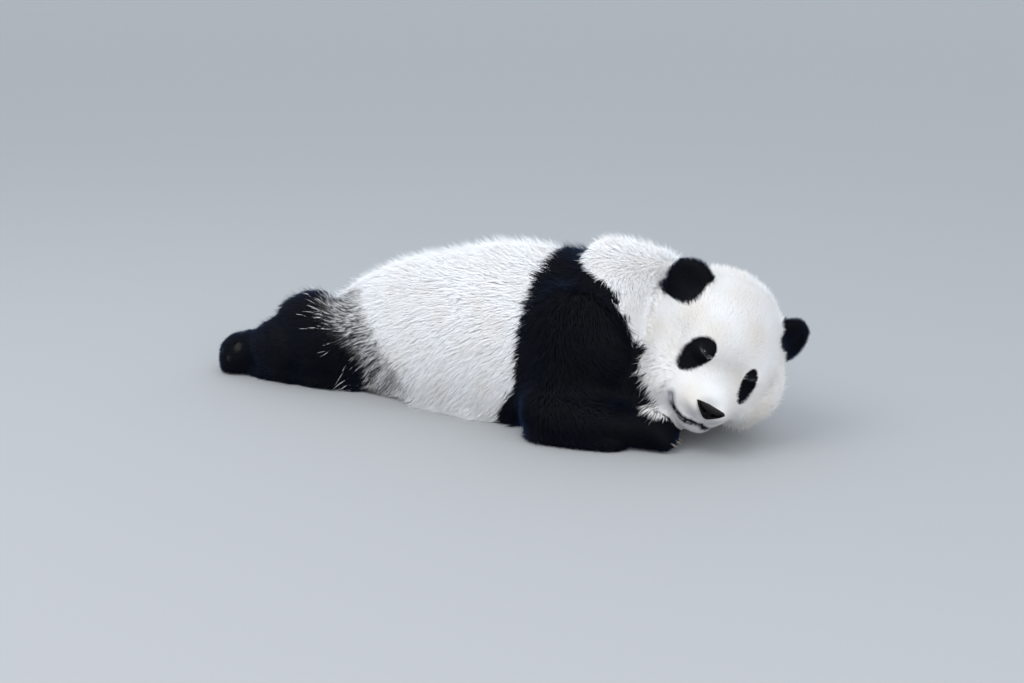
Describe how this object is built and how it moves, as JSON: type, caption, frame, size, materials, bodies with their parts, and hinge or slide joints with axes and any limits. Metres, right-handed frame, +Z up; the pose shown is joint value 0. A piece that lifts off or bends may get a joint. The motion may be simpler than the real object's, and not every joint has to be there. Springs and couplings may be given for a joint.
{
  "type": "giant panda",
  "caption": "Life-size young giant panda asleep on its belly, head turned to its right and resting on its forepaws, built as a still display model",
  "frame": {"origin": "on the floor under the middle of the animal's overall box", "axes": "+X from the rump to the head along the spine, +Y to the animal's left, +Z up"},
  "size_m": [1.2949, 0.4576, 0.37],
  "materials": {
    "white_coat": "dense white fur, matt with a soft sheen",
    "black_coat": "dense black fur, blue-grey where the light catches it",
    "nose_pad": "moist pebbled skin",
    "eye": "wet and glossy, dark brown",
    "claw_horn": "grey-brown horn, satin"
  },
  "bodies": {
    "root": {"nose": "nose_pad", "eye_right": "eye", "eye_left": "eye", "head": "white_coat", "lower_jaw": "white_coat", "ear_right": "black_coat", "ear_left": "black_coat", "trunk": "white_coat", "neck": "white_coat", "tail": "white_coat", "forepaw_right_claw_1": "claw_horn", "forepaw_right_claw_2": "claw_horn", "forepaw_right_claw_3": "claw_horn", "forepaw_right_claw_4": "claw_horn", "forepaw_right_claw_5": "claw_horn", "forepaw_right": "black_coat", "forearm_right": "black_coat", "upper_foreleg_right": "black_coat", "forepaw_left_claw_1": "claw_horn", "forepaw_left_claw_2": "claw_horn", "forepaw_left_claw_3": "claw_horn", "forepaw_left_claw_4": "claw_horn", "forepaw_left_claw_5": "claw_horn", "forepaw_left": "black_coat", "forearm_left": "black_coat", "upper_foreleg_left": "black_coat", "hind_foot_right_claw_1": "claw_horn", "hind_foot_right_claw_2": "claw_horn", "hind_foot_right_claw_3": "claw_horn", "hind_foot_right_claw_4": "claw_horn", "hind_foot_right_claw_5": "claw_horn", "hind_foot_right": "black_coat", "shank_right": "black_coat", "thigh_right": "black_coat", "hind_foot_left_claw_1": "claw_horn", "hind_foot_left_claw_2": "claw_horn", "hind_foot_left_claw_3": "claw_horn", "hind_foot_left_claw_4": "claw_horn", "hind_foot_left_claw_5": "claw_horn", "hind_foot_left": "black_coat", "shank_left": "black_coat", "thigh_left": "black_coat"}
  },
  "joints": []
}
